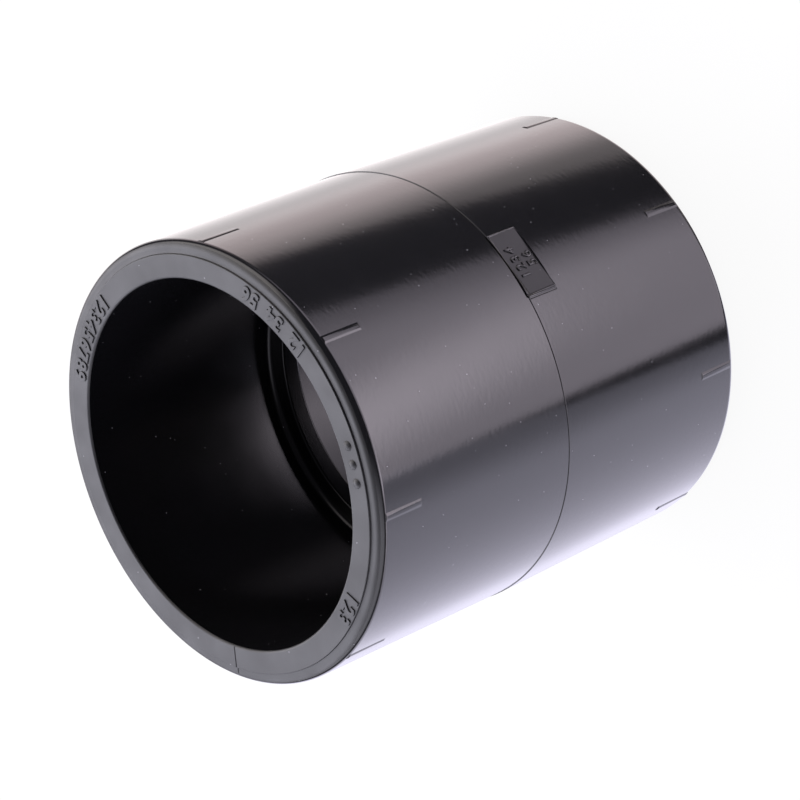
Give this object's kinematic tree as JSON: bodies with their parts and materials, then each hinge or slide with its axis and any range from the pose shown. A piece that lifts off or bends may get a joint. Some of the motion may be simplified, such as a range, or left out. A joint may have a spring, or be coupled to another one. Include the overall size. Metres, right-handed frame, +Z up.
{
  "type": "solvent-weld pipe coupling",
  "caption": "Short straight tube coupling with a plain round socket in each end, an inner stop ring between them, angle marks outside and a small sunk flat pad at mid-length.",
  "frame": {"origin": "on the coupling's axis, in the plane of the lower end face that it stands on", "axes": "+Z up along the bore, -Y towards the side with the small flat pad; the angle marks lie on X, Y and the diagonals"},
  "size_m": [0.049, 0.049, 0.0553],
  "materials": {
    "pvc_grey": "dark grey moulded PVC-U, satin outside and in the bores, duller on the end faces"
  },
  "bodies": {
    "root": {"coupling_body": "pvc_grey"}
  },
  "joints": []
}
